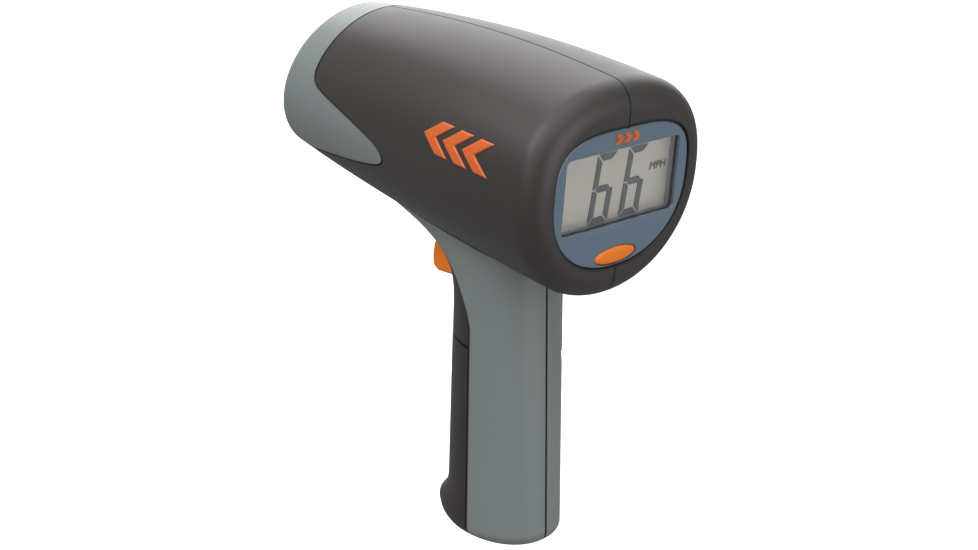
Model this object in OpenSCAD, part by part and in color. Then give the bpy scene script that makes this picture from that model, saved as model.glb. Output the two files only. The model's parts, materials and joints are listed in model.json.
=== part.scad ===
// Hand-held speed radar gun: a tapered head with a horn antenna behind a round
// nose and a display at the rear, on a raked grip that holds two cells.
// Millimetres. +Y is the beam, +Z is up, the left side is -X. The head is drawn
// about its own datum (rear face y = 0, datum height z = 0), then set on the grip.

/* [Head] */
// Length of the head along the beam, at the nose's centre
head_l = 171; // [160:1:190]
// Half width at the rear face
rear_half_w = 48.4; // [45:0.1:56]
// Half width half way along
mid_half_w = 44; // [40:0.1:50]
// Roof above the datum, at the rear
rear_up = 41; // [37:0.1:48]
// Roof above the datum, half way along
mid_up = 43.4; // [40:0.1:50]
// Underside below the datum, at the rear
rear_dn = 46; // [41:0.1:52]
// Underside below the datum, half way along
mid_dn = 42.4; // [36:0.1:46]
// Rounding of the rear edge
rear_fillet = 10; // [6:0.5:14]
// Thickness of the moulded walls
wall = 2.4; // [1.8:0.1:3]

/* [Nose] */
// Outer radius of the round nose
nose_r = 34.2; // [31:0.1:40]
// Height of the nose's centre above the datum
nose_rise = 1; // [0:0.5:4]
// Lean of the rim, as set-back for each millimetre of height
nose_rake = 0.25; // [0:0.01:0.3]
// Rounding of the rim
rim_round = 5; // [3:0.5:7]
// Width of the rim, seen from the front
rim_w = 6; // [5:0.5:9]
// Where the grey shroud meets the head shells, on the roof
shroud_y = 150.5; // [140:0.5:155]
// Tip of the swept side tab
tab_y = 86; // [80:0.5:92]
// Height of the tab's middle
tab_z = -6; // [-12:0.5:2]
// Half height of the tab's blunt end
tab_half_h = 3; // [2:0.1:5]

/* [Display] */
// Half width of the display surround
bezel_half_w = 36.5; // [34:0.1:39]
// Surround above the datum
bezel_up = 24.6; // [22:0.1:28]
// Surround below the datum
bezel_dn = 31.6; // [30:0.1:34]
// How far the surround sits in from the rear face
bezel_sink = 0.6; // [0.3:0.1:1.2]
// Half width of the window
window_half_w = 31.2; // [28:0.1:33]
// Top edge of the window
window_top = 16.5; // [14:0.1:18]
// Bottom edge of the window
window_bot = -14.2; // [-17:0.1:-12]
// Depth of the display's face behind the rear face
lcd_y = 6.2; // [5:0.1:8]
// Half width of the mode button
button_half_w = 11.3; // [9:0.1:13]
// Half height of the mode button
button_half_h = 3.4; // [2.5:0.1:4]
// Height of the mode button's middle
button_z = -27.3; // [-28:0.1:-24]
// Travel of the mode button
button_travel = 0.9; // [0.5:0.1:1.2]

/* [Grip] */
// Depth of the grip's foot below the head's datum
grip_drop = 171.2; // [150:0.1:185]
// Half width of the grip
grip_half_w = 20.6; // [19:0.1:24]
// Half depth of the grip at the foot, front to back
grip_half_d = 26.8; // [25:0.1:30]
// Half depth lost between the foot and the head
grip_taper = 3.4; // [0:0.1:4.5]
// Middle of the grip below the head, extended up to the datum
grip_y = 63.0; // [60:0.1:75]
// Rake of the grip, as set-back for each millimetre of drop
grip_rake = 0.076; // [0.05:0.002:0.14]
// Rounding of the grip's foot
foot_round = 6; // [4:0.5:10]
// Slope of the foot, lower at the front, for each millimetre
foot_tilt = 0.12; // [0:0.01:0.2]
// Reach of the flare under the head, beyond the grip's front
flare_l = 64; // [45:1:75]
// Share of the grip's height below the flare
flare_from = 0.70; // [0.6:0.01:0.8]
// Height of the parting line between trigger surround and battery door
door_top = -86; // [-92:0.5:-80]
// How far the door's lip stands out at the foot
lip_out = 7.6; // [3:0.1:9]

/* [Trigger] */
// Half width of the trigger
trigger_half_w = 6.3; // [5:0.1:8]
// Height of the trigger's pivot
trigger_pivot_z = -47; // [-50:0.5:-46]
// Fore and aft place of the trigger's pivot
trigger_pivot_y = 84; // [80:0.5:88]
// Radius of the trigger's pin
trigger_pin_r = 1.5; // [1.2:0.1:2]
// Pull of the trigger, in degrees
trigger_pull = 9; // [5:0.5:12]

/* [Power] */
// Radius of a C cell
cell_r = 13.1; // [12.5:0.1:13.2]
// Length of a C cell over its button
cell_l = 50; // [48:0.5:50.5]
// Wall of the cell sleeve
sleeve_wall = 1.2; // [0.8:0.1:1.4]

/* [Screws] */
// Radius of a housing screw's shank
screw_r = 1.4; // [1.2:0.1:1.8]
// Radius of a housing screw's head
screw_head_r = 2.7; // [2.4:0.1:3.2]

/* [Fits] */
// Gap between fixed pieces at a parting line
seam = 0.15; // [0.1:0.05:0.3]
// Gap round a piece that moves
free = 0.4; // [0.3:0.05:0.6]
// Running clearance of a pin in its hole, on the radius
run = 0.05; // [0.02:0.01:0.09]

/* [Hidden] */
head_n_up = 2.47;          // squareness of the rear section's upper half
head_n_dn = 2.05;          // squareness of the rear section's lower half
mid_n_dn = 1.9;            // the belly is a little sharper half way along
bezel_n_up = 3.5;
bezel_n_dn = 2.2;
top_gap = 0.3;             // between the grip and the underside of the head
lip_at = 0.07;             // share of the grip's height where the lip stands out most
lip_spread = 0.05;
flare_power = 4.5;
grip_n_front = 2;
grip_n_back = 2.25;
cols = 16;                 // facets round half a section
body_rows = 9;
fillet_steps = 4;
body_c = (head_l + nose_rake * nose_r) / 2;   // middle of the overall length
horn_r = nose_r - rim_w - 1;      // mouth of the horn
throat_r = 6;
horn_wall = 1.2;
horn_l = 58;
radome_y = head_l - nose_rake * nose_r - 4.5;    // front of the radome at its middle
radome_t = 2;
radome_r = nose_r - wall - 0.9;
horn_y = radome_y - radome_t - 3.5;       // mouth plane of the horn
throat_y = horn_y - horn_l;
block_l = 22;
block_w = 26;
board_t = 1.6;
lcd_t = 2.8;
lcd_frame_t = 1.4;
board_y = lcd_y + lcd_t + 7;      // front board face nearest the display
rear_board_half_w = 31;
board_h = 57;
board_z = -2.5;
board_hole_x = 28;
board_hole_z = [-27, 23];
flange_out = 2.2;                 // lip of the surround behind the rear wall
flange_t = 1.2;
pane_t = 1.2;
split_phi = 88;                   // where the front strip meets the grey halves
split_phi_top = 40;                // the same, under the head
sleeve_r = cell_r + 0.4 + sleeve_wall;
rake_deg = atan(grip_rake);
cell_foot = grip_drop - 10;       // how far the lower cell's foot is below the datum
lead_hole_r = 7;
foot_low = grip_drop + foot_tilt*(grip_half_d - foot_round + lip(0));   // lowest point, below the datum
cell_top = cell_foot - 2*cell_l;
spring_gap = 5;                   // room for the cell spring
lead_y = grip_y - 8;              // where the leads pass from grip to head
spring_r = 2.2;
spring_wire = 0.45;
proud = 0.6;                      // height of the raised side marks

// ---------- shape functions ----------

function q3(t, a, b, c) = a*(1 - t)*(1 - 2*t) + 4*b*t*(1 - t) + c*t*(2*t - 1);
function ease(t) = t*t*(3 - 2*t);
function spow(v, e) = sign(v)*pow(abs(v), e);
// softened max(0, v): a straight ramp with a rounded foot of size r
function ramp(v, r) = (v + sqrt(v*v + r*r))/2;
function soft_min(a, b, r) = (a + b - sqrt((a - b)*(a - b) + r*r))/2;

// one point of an oval with half width a, and its own height and squareness above and below
function oval(th, a, up, dn, nu, nd) = let (n = sin(th) >= 0 ? nu : nd)
    [a*spow(cos(th), 2/n), (sin(th) >= 0 ? up : dn)*spow(sin(th), 2/n)];

function head_zm(t) = nose_rise*t;
function head_a(t) = q3(t, rear_half_w, mid_half_w, nose_r);
function head_up(t) = q3(t, rear_up, mid_up, nose_r + nose_rise) - head_zm(t);
function head_dn(t) = q3(t, rear_dn, mid_dn, nose_r - nose_rise) + head_zm(t);
function head_nu(t) = head_n_up + (2 - head_n_up)*t;
function head_nd(t) = q3(t, head_n_dn, mid_n_dn, 2);
// a point of the head's skin, moved inwards by inset
function head_pt(y, th, inset) = let (t = y/head_l,
    o = oval(th, head_a(t) - inset, head_up(t) - inset, head_dn(t) - inset, head_nu(t), head_nd(t)))
    [o[0], y - nose_rake*ease(t)*o[1], o[1] + head_zm(t)];
// half width of the head at a place on its side
function head_x(y, z) = let (t = y/head_l, v = z - head_zm(t), n = v >= 0 ? head_nu(t) : head_nd(t))
    head_a(t)*pow(max(0, 1 - pow(abs(v)/(v >= 0 ? head_up(t) : head_dn(t)), n)), 1/n);
// height of the belly below the section's middle, at a half width x of the section t
function belly(x, t) = let (n = head_nd(t))
    -head_dn(t)*pow(max(0, 1 - pow(min(1, abs(x)/head_a(t)), n)), 1/n);
// underside of the head below a place in plan; the section that leans over it is found in three steps
function section_over(x, y, t) = (y + nose_rake*ease(t)*belly(x, t))/head_l;
function head_under(x, y) = let (t = section_over(x, y, section_over(x, y, section_over(x, y, y/head_l))))
    head_zm(t) + belly(x, t);

// front edge of the head shells round the section: a ring line with a swept tab each side
function tab_at(th) = let (z = head_pt(0.65*head_l, th, 0)[2])
    soft_min(shroud_y, tab_y + 5.2*ramp(z - tab_z - tab_half_h, 4)
        + 4.2*ramp(tab_z - tab_half_h - 2 - z, 3), 16);
function edge_y(th) = sin(th) < -0.45 ? tab_at(th) + (head_l - 14 - shroud_y)*ease((-sin(th) - 0.45)/0.55)
    : tab_at(th);

function bezel_pt(th, grow, y) = let (o = oval(th, bezel_half_w + grow, bezel_up + grow,
    bezel_dn + grow, bezel_n_up, bezel_n_dn)) [o[0], y, o[1]];

// grip: s runs from 0 at the foot to 1 under the head, phi from 0 at the front
function grip_flare(s) = flare_l*pow(max(0, (s - flare_from)/(1 - flare_from)), flare_power);
function grip_c(s) = grip_y - grip_rake*(grip_drop - s*(grip_drop - mid_dn));
function lip(s) = lip_out*exp(-pow((s - lip_at)/lip_spread, 2));
// the foot's flat is a little lower at the front
function foot_z(y) = -grip_drop - foot_tilt*(y - grip_c(0));
function grip_xy(s, phi, inset) = let (c = grip_c(s), f = cos(phi) >= 0,
    n = f ? grip_n_front : grip_n_back,
    b = grip_half_d - grip_taper*s - inset + (f ? grip_flare(s) + lip(s)*sqrt(max(0, cos(phi))) : 0))
    [(grip_half_w - inset)*spow(sin(phi), 2/n), c + b*spow(cos(phi), 2/n)];
function grip_top(phi, inset) = let (p = grip_xy(1, phi, inset)) head_under(p[0], p[1]) - top_gap;
function grip_pt(s, phi, inset) = let (p = grip_xy(s, phi, inset))
    [p[0], p[1], foot_z(p[1]) + s*(grip_top(phi, inset) - foot_z(p[1]))];
// angle of the line between the front strip and the grey halves
function split_at(s) = split_phi + (split_phi_top - split_phi)*ease(max(0, min(1, (s - 0.72)/0.28)));

// ---------- building blocks ----------

// closed solid between an outer and an inner grid of points; wrap joins the last column to the first
module thick(outer, inner, wrap = false, flip = false) {
    rows = len(outer);
    cs = len(outer[0]);
    last = wrap ? cs - 1 : cs - 2;
    function at(i, j, k) = k*rows*cs + i*cs + (j % cs);
    // the diagonal of each four-sided patch leans the other way in the second half of the columns
    function turned(q, t) = t ? [q[1], q[2], q[3], q[0]] : q;
    quads = concat(
        [for (i = [0:rows - 2], j = [0:last])
            turned([at(i, j, 0), at(i, j + 1, 0), at(i + 1, j + 1, 0), at(i + 1, j, 0)], j > last/2)],
        [for (i = [0:rows - 2], j = [0:last])
            turned([at(i, j, 1), at(i + 1, j, 1), at(i + 1, j + 1, 1), at(i, j + 1, 1)], j > last/2)],
        [for (j = [0:last]) [at(0, j + 1, 0), at(0, j, 0), at(0, j, 1), at(0, j + 1, 1)]],
        [for (j = [0:last])
            [at(rows - 1, j, 0), at(rows - 1, j + 1, 0), at(rows - 1, j + 1, 1), at(rows - 1, j, 1)]],
        wrap ? [] : [for (i = [0:rows - 2]) [at(i, 0, 0), at(i + 1, 0, 0), at(i + 1, 0, 1), at(i, 0, 1)]],
        wrap ? [] : [for (i = [0:rows - 2])
            [at(i + 1, cs - 1, 0), at(i, cs - 1, 0), at(i, cs - 1, 1), at(i + 1, cs - 1, 1)]]);
    tris = [for (q = quads) each [[q[0], q[1], q[2]], [q[0], q[2], q[3]]]];
    polyhedron([for (g = [outer, inner]) for (r = g) each r],
        flip ? [for (t = tris) [t[2], t[1], t[0]]] : tris);
}

module place() translate([0, -body_c, foot_low]) children();
// along the beam, from y, on the nose's axis
module beam(y) translate([0, y, nose_rise]) rotate([-90, 0, 0]) children();
// up the raked grip, from a height measured along it below the datum
module up_grip(down) translate([0, grip_y - grip_rake*down, -down]) rotate([-rake_deg, 0, 0]) children();
module slab(size, at) translate(at) cube(size, center = true);

module bezel_outline(grow)
    polygon([for (i = [0:2*cols - 1]) let (p = bezel_pt(i*180/cols, grow, 0)) [p[0], p[2]]]);
// a flat shape in x and z, pushed from y to y + t
module pushed(y, t) translate([0, y + t, 0]) rotate([90, 0, 0]) linear_extrude(t) children();

// ---------- head ----------

module head_half(side) {
    ths = [for (j = [0:cols]) 90 + side*180*j/cols];
    betas = [for (k = [0:fillet_steps]) 90*k/fillet_steps];
    rf = rear_fillet;
    outer = concat([[for (th = ths) bezel_pt(th, seam, 0)]],
        [for (b = betas) [for (th = ths) head_pt(rf*(1 - cos(b)), th, rf*(1 - sin(b)))]],
        [for (k = [1:body_rows]) [for (th = ths) head_pt(rf + (edge_y(th) - rf)*k/body_rows, th, 0)]]);
    inner = concat([[for (th = ths) bezel_pt(th, seam, wall)]],
        [for (b = betas) [for (th = ths) head_pt(rf - (rf - wall)*cos(b), th, rf - (rf - wall)*sin(b))]],
        [for (k = [1:body_rows]) [for (th = ths) head_pt(rf + (edge_y(th) - rf)*k/body_rows, th, wall)]]);
    shift = side > 0 ? -seam/2 : seam/2;
    function apart(g) = [for (r = g) [for (p = r) [p[0] + shift, p[1], p[2]]]];
    difference() {
        thick(apart(outer), apart(inner), false, side < 0);
        translate([0, lead_y, -rear_dn - 5]) cylinder(r = lead_hole_r, h = 20, $fn = 40);
    }
}
module head_shell_left() color([0.27, 0.25, 0.25]) place() head_half(1);
module head_shell_right() color([0.27, 0.25, 0.25]) place() head_half(-1);

shroud_ths = [for (j = [0:2*cols - 1]) 90 + 180*j/cols];
shroud_rows = 6;
// a row of the shroud, k from 0 at the shells' edge to 1 where the rim's rounding starts
function shroud_row(k, inset) = [for (th = shroud_ths) let (e = edge_y(th) + 2*seam)
    head_pt(e + (head_l - rim_round - e)*k, th, inset)];
// the rim's rounding, b from 0 at the wall to 90 on the front
function rim_row(b, inset) = let (r = rim_round - inset)
    [for (th = shroud_ths) head_pt(head_l - rim_round + r*sin(b), th, rim_round - r*cos(b))];
function rim_edge(y) = [for (th = shroud_ths) head_pt(y, th, rim_w)];
function shroud_grid(inset) = concat([for (k = [0:shroud_rows]) shroud_row(k/shroud_rows, inset)],
    [for (b = [30, 60, 90]) rim_row(b, inset)], [rim_edge(head_l - inset)]);
module nose_shroud() color([0.49, 0.53, 0.52]) place() thick(shroud_grid(0), shroud_grid(wall), true);

module radome() color([0.12, 0.12, 0.13]) place() beam(radome_y - radome_t)
    rotate_extrude($fn = 96) polygon([[0, 0], [radome_r, 0], [radome_r, radome_t], [20, radome_t + 0.5],
        [0, radome_t + 0.8]]);
module radome_seal() color([0.08, 0.08, 0.08]) place() beam(radome_y - radome_t - 1.6)
    rotate_extrude($fn = 96) translate([radome_r - 2.2, 0]) square([2, 1.5]);
module horn_antenna() color([0.75, 0.76, 0.78]) place() beam(throat_y)
    rotate_extrude($fn = 96) polygon([[throat_r, 0], [throat_r + 4, 0], [throat_r + 4, 2],
        [throat_r + horn_wall, 3], [horn_r + horn_wall, horn_l - 2], [horn_r + 2, horn_l - 2],
        [horn_r + 2, horn_l], [horn_r, horn_l], [throat_r, 3]]);
module transceiver_block() color([0.62, 0.63, 0.65]) place() beam(throat_y - block_l) difference() {
    slab([block_w, block_w, block_l - 0.1], [0, 0, block_l/2]);
    translate([0, 0, 6]) cylinder(r = throat_r, h = block_l, $fn = 64);
    translate([0, -block_w/2 - 1, 12]) rotate([-90, 0, 0]) cylinder(r = 3.5 + run, h = 8, $fn = 48);
}
module oscillator_can() color([0.8, 0.74, 0.45]) place() beam(throat_y - block_l)
    translate([0, -block_w/2 - 3, 12]) rotate([-90, 0, 0]) {
        cylinder(r = 3.5, h = 7, $fn = 48);
        cylinder(r = 5, h = 2.9, $fn = 48);
    }
module signal_board() color([0.10, 0.34, 0.20]) place() {
    sy = throat_y - block_l - 2.5;
    slab([44, board_t, 40], [0, sy, nose_rise]);
    for (p = [[-10, 8, 9, 7], [9, 9, 12, 10], [-8, -9, 11, 6], [12, -8, 6, 6]])
        slab([p[2], 1.6, p[3]], [p[0], sy - 1.6, nose_rise + p[1]]);
}

chassis_front = throat_y - block_l - 1.2;
chassis_half_w = 27;
// two side rails and a cross plate that carry the radar front end and the display board
module chassis() color([0.2, 0.2, 0.21]) place() {
    rail_l = chassis_front - board_y - board_t - 0.4;
    for (side = [-1, 1])
        slab([2, rail_l, 30], [side*chassis_half_w, board_y + board_t + 0.2 + rail_l/2, 0]);
    difference() {
        slab([2*chassis_half_w - 1, 2.4, 30], [0, chassis_front - 8, 0]);
        slab([34, 5, 18], [0, chassis_front - 8, 0]);
    }
}

// ---------- display ----------

module main_board() color([0.10, 0.34, 0.20]) place() {
    difference() {
        slab([2*rear_board_half_w, board_t, board_h], [0, board_y + board_t/2, board_z]);
        for (sx = [-1, 1], z = board_hole_z) translate([sx*board_hole_x, board_y - 1, z]) rotate([-90, 0, 0])
            cylinder(r = 1.6, h = 5, $fn = 32);
    }
    for (p = [[-14, 4, 14, 14], [12, 8, 9, 6], [14, -8, 8, 12], [-16, -16, 7, 5], [0, -12, 5, 4]])
        slab([p[2], 1.8, p[3]], [p[0], board_y + board_t + 0.9, p[1]]);
}
module board_screws() color([0.7, 0.7, 0.72]) place()
    for (sx = [-1, 1], z = board_hole_z) translate([sx*board_hole_x, board_y - 1.7, z]) rotate([-90, 0, 0]) {
        cylinder(r = 1.5, h = 7, $fn = 32);
        cylinder(r = 2.6, h = 1.6, $fn = 32);
    }
module lcd_glass() color([0.69, 0.67, 0.62]) place()
    slab([2*window_half_w + 1.4, lcd_t, window_top - window_bot + 1.4],
        [0, lcd_y + lcd_t/2, (window_top + window_bot)/2]);
// dark walls round the glass, between the surround and the board
module lcd_frame() color([0.38, 0.36, 0.39]) place() difference() {
    w = 2*window_half_w;
    h = window_top - window_bot;
    zc = (window_top + window_bot)/2;
    front_y = wall + seam + flange_t + 0.05;
    back_y = board_y - 0.1;
    slab([w + 2*lcd_frame_t, back_y - front_y, h + 2*lcd_frame_t], [0, (front_y + back_y)/2, zc]);
    slab([w, 60, h], [0, 0, zc]);
    slab([w + 1.8, board_y, h + 1.8], [0, lcd_y - 0.05 + board_y/2, zc]);
}
module lcd_contact_strips() color([0.85, 0.6, 0.65]) place()
    for (z = [window_bot + 1.4, window_top - 1.4])
        slab([2*window_half_w - 6, board_y - lcd_y - lcd_t - 0.1, 1.8],
            [0, (board_y + lcd_y + lcd_t)/2, z]);

// one bar of a digit, with pointed ends, along x or along z
module bar(l, w, upright) rotate(upright ? 90 : 0)
    polygon([[-l/2, 0], [-l/2 + w/2, -w/2], [l/2 - w/2, -w/2],
        [l/2, 0], [l/2 - w/2, w/2], [-l/2 + w/2, w/2]]);
digit_h = 27.6;
digit_w = 9.4;
bar_w = 2.6;
digit_lean = 0.11;
// a seven-bar figure; bars are top, upper left, upper right, middle, lower left, lower right, bottom
module digit(bars) {
    hh = digit_h/2 - bar_w/2;
    hw = digit_w/2 - bar_w/2;
    spots = [[0, hh, 0], [-hw, hh/2, 1], [hw, hh/2, 1], [0, 0, 0],
        [-hw, -hh/2, 1], [hw, -hh/2, 1], [0, -hh, 0]];
    multmatrix([[1, digit_lean, 0, 0], [0, 1, 0, 0], [0, 0, 1, 0], [0, 0, 0, 1]])
        for (i = [0:6]) if (bars[i]) translate([spots[i][0], spots[i][1]])
            bar((spots[i][2] ? hh : 2*hw) - 0.5, bar_w, spots[i][2]);
}
digit_x = [-4.6, 12.6];
module lcd_digits() color([0.26, 0.29, 0.27]) place() pushed(lcd_y - 0.35, 0.3) {
    for (x = digit_x) translate([x, 0.4]) digit([1, 1, 0, 1, 1, 1, 1]);
    // unit mark, reduced to small upright strokes
    for (x = [23, 24.9, 26.8, 28.7]) translate([x, 3.6]) square([0.7, 3], center = true);
}

// blue-grey surround with a retaining flange behind the rear wall
module display_bezel() color([0.40, 0.50, 0.58]) place() difference() {
    union() {
        pushed(bezel_sink, wall + seam - bezel_sink + 0.2) bezel_outline(0);
        pushed(wall + seam, flange_t) bezel_outline(flange_out);
    }
    slab([2*window_half_w, 20, window_top - window_bot], [0, 0, (window_top + window_bot)/2]);
    slab([2*window_half_w + 2, 4, window_top - window_bot + 2],
        [0, bezel_sink + 0.9 + 2, (window_top + window_bot)/2]);
    pushed(-2, 12) translate([0, button_z]) scale([1, (button_half_h + free)/(button_half_w + free)])
        circle(r = button_half_w + free, $fn = 64);
    pushed(wall + seam - 0.3, 4) translate([0, button_z])
        scale([1, (button_half_h + 1 + free)/(button_half_w + 1.4 + free)])
        circle(r = button_half_w + 1.4 + free, $fn = 64);
}
module display_window() color([0.85, 0.88, 0.9, 0.3]) place()
    slab([2*window_half_w + 1.8, pane_t, window_top - window_bot + 1.8],
        [0, bezel_sink + 0.9 + seam/2 + pane_t/2, (window_top + window_bot)/2]);
module window_gasket() color([0.07, 0.07, 0.07]) place() difference() {
    pushed(wall + seam + flange_t + 0.05, 1) bezel_outline(1.6);
    pushed(wall, 5) bezel_outline(0.3);
}

module oval_push(y, t, a, b) pushed(y, t) translate([0, button_z]) scale([1, b/a]) circle(r = a, $fn = 64);
// the button stands in a hole of the surround; a lip behind keeps it in
module mode_button() color([0.96, 0.52, 0.14]) place() {
    oval_push(bezel_sink - 0.4, wall + seam + 0.6 - bezel_sink, button_half_w, button_half_h);
    oval_push(wall + seam, 0.8, button_half_w + 1.2, button_half_h + 0.8);
    translate([0, wall + seam + 0.8, button_z]) rotate([-90, 0, 0])
        cylinder(r = 2.5, h = board_y - 4.6 - wall - seam - 0.8 - button_travel, $fn = 32);
}
module mode_switch() color([0.2, 0.2, 0.2]) place() {
    slab([6.2, 3, 6.2], [0, board_y - 1.55, button_z]);
    translate([0, board_y - 4.2, button_z]) rotate([-90, 0, 0]) cylinder(r = 1.7, h = 1.2, $fn = 32);
}

// ---------- grip ----------

foot_rows = 4;
grey_cols = 8;
strip_cols = 12;
function strip_s(z) = (z + grip_drop)/(grip_drop - mid_dn);
foot_s = foot_round/(grip_drop - mid_dn);
door_s = strip_s(door_top - free);
surround_s = strip_s(door_top);
// heights of the rows beside the door and beside the trigger surround, shared by both sides of each line
door_levels = [for (m = [0:10]) foot_s + (door_s - foot_s)*m/10];
surround_levels = [for (m = [0:8]) surround_s + (1 - surround_s)*m/8];
// one row round the foot's rounding, beta from 0 at the flat to 90 at the wall
function foot_row(beta, inset, phis) = let (r = foot_round, ri = r - inset, up = r - ri*cos(beta))
    [for (phi = phis) let (p = grip_xy(up/(grip_drop - mid_dn), phi, r - ri*sin(beta)))
        [p[0], p[1], foot_z(p[1]) + up]];
function foot_grid(inset, phis) = [for (m = [0:foot_rows]) foot_row(90*m/foot_rows, inset, phis)];
// angles from the front strip's edge round to the back
function grey_phis(s) = [for (j = [0:grey_cols]) split_at(s) + (180 - split_at(s))*j/grey_cols];
function grey_rows(inset) = concat(foot_grid(inset, grey_phis(0)),
    [for (levels = [door_levels, surround_levels], i = [1:len(levels) - 1])
        [for (phi = grey_phis(levels[i])) grip_pt(levels[i], phi, inset)]]);
// the flat of the foot ends on a straight line down the middle
function grey_grid(side, inset) = let (rows = grey_rows(inset), edge = rows[0][0][1]) concat(
    [[for (p = rows[0]) let (y = edge - seam/2 + (p[1] - edge)*0.9) [side*seam/2, y, foot_z(y) + inset]]],
    [for (row = rows) [for (j = [0:grey_cols])
        [side*(row[j][0] + seam/2), row[j][1] - (j == 0 ? seam/2 : 0), row[j][2]]]]);
module grey_half(side) thick(grey_grid(side, 0), grey_grid(side, wall), false, side < 0);
screw_down = [88, 146];        // housing screws in the grip, distance down from the datum
screw_back = 19.3;               // and back from the grip's middle line
screw_tip = 7.2;                 // how far the shank reaches into the left side
module at_grip_screws() for (d = screw_down)
    translate([0, grip_y - grip_rake*d - screw_back, -d]) rotate([0, 90, 0]) children();

module grip_shell_left() color([0.49, 0.53, 0.52]) place() grey_half(-1);
module grip_shell_right() color([0.49, 0.53, 0.52]) place() difference() {
    grey_half(1);
    at_grip_screws() translate([0, 0, 7.6]) cylinder(r = screw_head_r + 0.3, h = 20, $fn = 40);
}

// dark front strip: rows between two heights, kept as one fixed and one hinged piece
function strip_phis(s) = [for (j = [0:strip_cols]) -split_at(s) + 2*split_at(s)*j/strip_cols];
function strip_row(s, inset) = [for (phi = strip_phis(s))
    let (p = grip_pt(s, phi, inset)) [p[0], p[1] + seam/2, p[2]]];
module trigger_surround() color([0.22, 0.21, 0.21]) place() difference() {
    thick([for (s = surround_levels) strip_row(s, 0)], [for (s = surround_levels) strip_row(s, wall)]);
    slab([2*trigger_half_w + 2*free, 47, 24], [0, trigger_pivot_y - 6.5, trigger_pivot_z - 10]);
}
door_gap = seam/2 + free/2;
function door_grid(inset) = let (foot = foot_grid(inset, strip_phis(0)), edge = foot[0][0][1] + door_gap)
    concat([[for (p = foot[0]) [p[0]*0.9, edge, foot_z(edge) + inset]]],
    [for (row = foot) [for (p = row) [p[0], p[1] + door_gap, p[2]]]],
    [for (i = [1:len(door_levels) - 1])
        [for (p = strip_row(door_levels[i], inset)) [p[0], p[1] + free/2, p[2]]]]);
hinge_y = grip_c(surround_s) + grip_half_d - grip_taper*surround_s;   // the door turns on its top front edge
// the door, with two hooks that reach up behind the surround
module battery_door() color([0.22, 0.21, 0.21]) place() {
    thick(door_grid(0), door_grid(wall));
    for (side = [-1, 1]) {
        slab([3, 1.2, 8], [side*4, hinge_y - 4.6, door_top - 1]);
        slab([3, 3, 2.4], [side*4, hinge_y - 3.2, door_top - 3.4]);
    }
}

// ---------- trigger ----------

module trigger() color([0.98, 0.45, 0.12]) place() translate([0, trigger_pivot_y, trigger_pivot_z])
    difference() {
        rotate([90, 0, 90]) translate([0, 0, -trigger_half_w]) linear_extrude(2*trigger_half_w) polygon([
            [-3, 3], [3, 3], [12.5, -3], [14.6, -7], [15, -13],
            [14.2, -17.5], [11, -19], [-1, -17.5], [-3, -9]]);
        rotate([0, 90, 0]) cylinder(r = trigger_pin_r + run, h = 60, center = true, $fn = 48);
    }
module trigger_pin() color([0.75, 0.75, 0.77]) place() translate([0, trigger_pivot_y, trigger_pivot_z])
    rotate([0, 90, 0])
        cylinder(r = trigger_pin_r, h = 2*(trigger_half_w + free + 2.2), center = true, $fn = 48);
spring_y = trigger_pivot_y - 3.4;
spring_l = 6;
module trigger_spring() color([0.7, 0.7, 0.72]) place()
    translate([0, spring_y - spring_l, trigger_pivot_z - 8.5]) rotate([-90, 0, 0]) {
        turns = 5;
        per = 12;
        rise = (spring_l - 2*spring_wire)/(turns*per);
        pts = [for (i = [0:turns*per]) let (a = 360*i/per, z = spring_wire + rise*i)
            [[spring_r*cos(a), spring_r*sin(a), z], a]];
        rings = [for (p = pts) [for (k = [0:5]) let (c = cos(60*k)*spring_wire, h = sin(60*k)*spring_wire)
            [p[0][0] + c*cos(p[1]), p[0][1] + c*sin(p[1]), p[0][2] + h]]];
        n = len(rings);
        polyhedron([for (r = rings) each r], concat(
            [for (i = [0:n - 2], k = [0:5]) each [[i*6 + k, i*6 + (k + 1) % 6, (i + 1)*6 + (k + 1) % 6],
                [i*6 + k, (i + 1)*6 + (k + 1) % 6, (i + 1)*6 + k]]],
            [[5, 4, 3, 2, 1, 0]], [[for (k = [0:5]) (n - 1)*6 + k]]));
    }
module trigger_switch() color([0.15, 0.15, 0.16]) place() {
    sy = spring_y - spring_l - 0.1;
    slab([6.5, 10, 12], [0, sy - 5, trigger_pivot_z - 5.5]);
}
// cheeks that hold the pin, joined behind the switch
module trigger_bracket() color([0.2, 0.2, 0.21]) place() {
    back_y = spring_y - spring_l - 12;
    cheek_l = trigger_pivot_y + 4 - back_y;
    cheek_h = 6.4;
    cheek_z = trigger_pivot_z - 0.8;   // lower than the pin, to stay clear of the belly
    difference() {
        for (side = [-1, 1]) slab([1.8, cheek_l, cheek_h],
            [side*(trigger_half_w + free + 0.9), back_y + cheek_l/2, cheek_z]);
        translate([0, trigger_pivot_y, trigger_pivot_z]) rotate([0, 90, 0])
            cylinder(r = trigger_pin_r + 0.02, h = 60, center = true, $fn = 48);
    }
    slab([2*(trigger_half_w + free + 1.8), 1.8, cheek_h], [0, back_y - 0.9, cheek_z]);
}

// ---------- power ----------

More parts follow.
